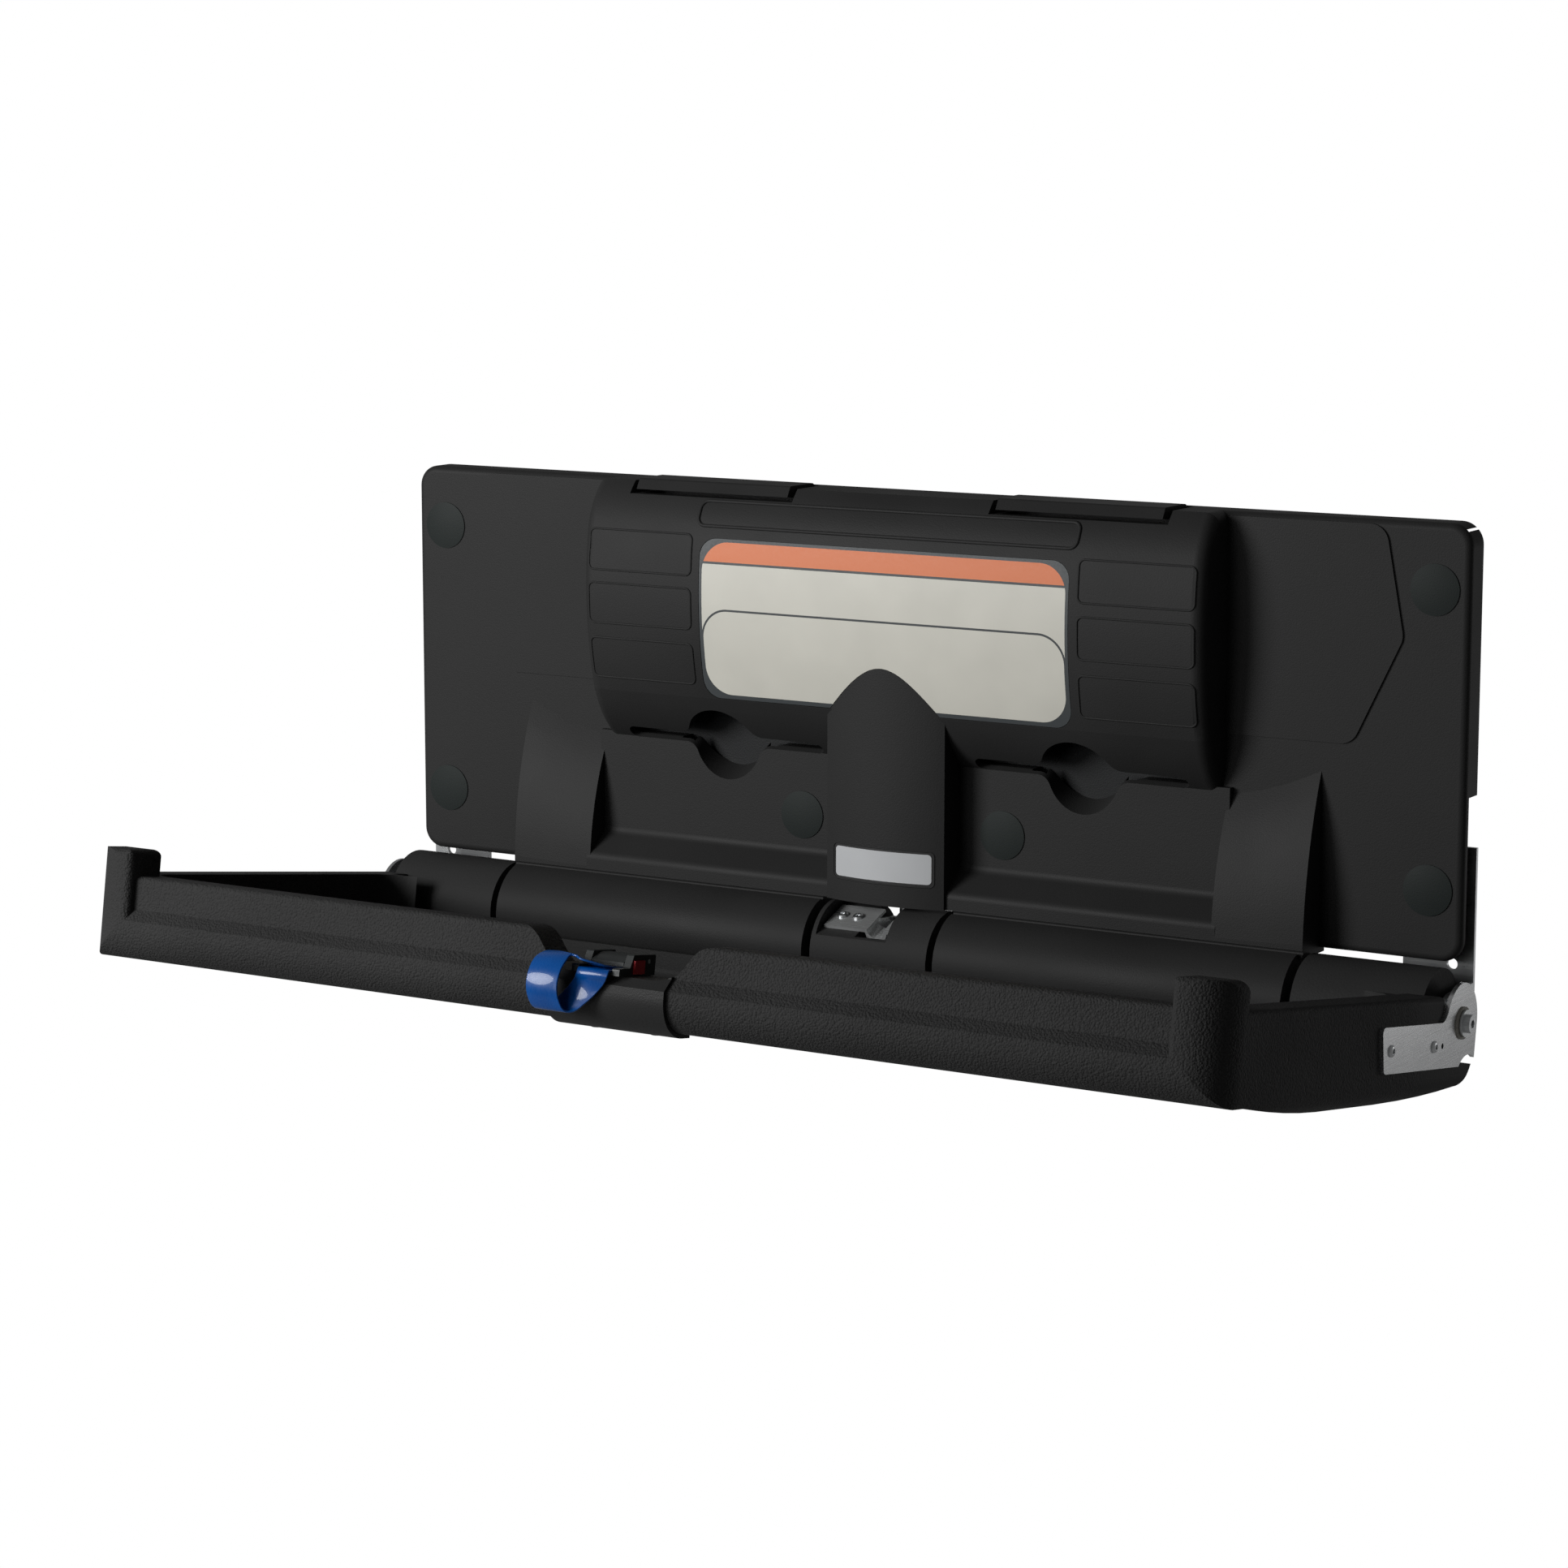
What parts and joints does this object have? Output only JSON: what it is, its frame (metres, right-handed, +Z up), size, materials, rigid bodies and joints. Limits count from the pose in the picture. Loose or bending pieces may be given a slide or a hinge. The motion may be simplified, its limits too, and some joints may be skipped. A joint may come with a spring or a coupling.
{
  "type": "baby changing station",
  "caption": "Wall-mounted fold-down baby changing station, open, with a liner dispenser hood, a deep bed, a safety strap with a cam buckle and a damped hinge.",
  "frame": {"origin": "on the wall plane, at the centre of the four outer wall-bolt holes", "axes": "+X to the right seen from the room, +Y into the wall, +Z up"},
  "size_m": [0.9256, 0.4509, 0.3917],
  "materials": {
    "shell_plastic": "fine pebbled charcoal polyethylene",
    "lid_plastic": "smooth charcoal polyethylene",
    "saddle_plastic": "smooth black polyethylene",
    "cover_plastic": "plain black plastic",
    "cap_plastic": "satin grey plastic",
    "label_plastic": "satin film on plastic",
    "plated_steel": "bright zinc plate",
    "polished_steel": "brushed stainless",
    "rod_chrome": "ground and chromed",
    "spring_paint": "black paint",
    "nylon": "natural nylon",
    "strap_vinyl": "glossy blue vinyl-coated webbing",
    "buckle_plastic": "satin black nylon",
    "button_red": "satin red plastic"
  },
  "bodies": {
    "base": {"back_shell": "shell_plastic", "label_plate": "label_plastic", "name_plate": "label_plastic", "screw_cap_1": "cap_plastic", "screw_cap_2": "cap_plastic", "screw_cap_3": "cap_plastic", "screw_cap_4": "cap_plastic", "screw_cap_5": "cap_plastic", "screw_cap_6": "cap_plastic", "liner_cover_left": "cover_plastic", "liner_cover_right": "cover_plastic", "liner_cover_screws": "plated_steel", "lid_pin_left": "plated_steel", "lid_pin_right": "plated_steel", "wall_bracket_left": "plated_steel", "wall_bracket_right": "plated_steel", "hinge_rod": "plated_steel", "pivot_bolt_left": "plated_steel", "pivot_bolt_right": "plated_steel", "pivot_washer_left": "nylon", "pivot_washer_right": "nylon", "spring_cylinder": "spring_paint", "spring_top_bracket": "plated_steel", "spring_bracket_screws": "plated_steel", "spring_top_pin": "plated_steel"},
    "tray": {"tray_shell": "shell_plastic", "saddle_cover": "saddle_plastic", "saddle_screws": "plated_steel", "hinge_plate_left": "polished_steel", "hinge_plate_right": "polished_steel", "plate_screws_left": "plated_steel", "plate_screws_right": "plated_steel", "pivot_bushing_left": "nylon", "pivot_bushing_right": "nylon", "hinge_bushings": "nylon", "crank_bracket": "polished_steel", "crank_screws": "plated_steel", "crank_pin": "plated_steel", "strap": "strap_vinyl", "strap_anchor": "plated_steel", "anchor_screws": "plated_steel", "buckle_frame": "buckle_plastic", "cam_pin": "plated_steel"},
    "lid_left": {"lid_left": "lid_plastic"},
    "lid_right": {"lid_right": "lid_plastic"},
    "spring_rod": {"spring_rod": "rod_chrome", "rod_eye": "polished_steel"},
    "cam_lever": {"cam_lever": "buckle_plastic"},
    "release_button": {"release_button": "button_red"}
  },
  "joints": [
    {"name": "tray_fold", "type": "hinge", "parent": "base", "child": "tray", "pos_m": [0, -0.042, -0.192], "axis": [-1, 0, 0], "range_deg": [0, 80.3]},
    {"name": "lid_left", "type": "hinge", "parent": "base", "child": "lid_left", "pos_m": [-0.155, -0.011, 0.1485], "axis": [1, 0, 0], "range_deg": [-95, 0]},
    {"name": "lid_right", "type": "hinge", "parent": "base", "child": "lid_right", "pos_m": [0.155, -0.011, 0.1485], "axis": [1, 0, 0], "range_deg": [-95, 0]},
    {"name": "spring_extend", "type": "slide", "parent": "base", "child": "spring_rod", "axis": [0, 0, -1], "range_m": [0, 0.0349]},
    {"name": "cam_lever", "type": "hinge", "parent": "tray", "child": "cam_lever", "pos_m": [-0.0065, -0.39313, -0.13331], "axis": [-1, 0, 0], "range_deg": [0, 60], "stiffness_Nm_per_rad": 0.02},
    {"name": "release_button", "type": "slide", "parent": "tray", "child": "release_button", "axis": [-1, 0, 0], "range_m": [0, 0.0011], "stiffness_N_per_m": 400}
  ],
  "couplings": [
    {"joint": "spring_extend", "follows": "tray_fold", "m_per_rad": 0.02484}
  ]
}
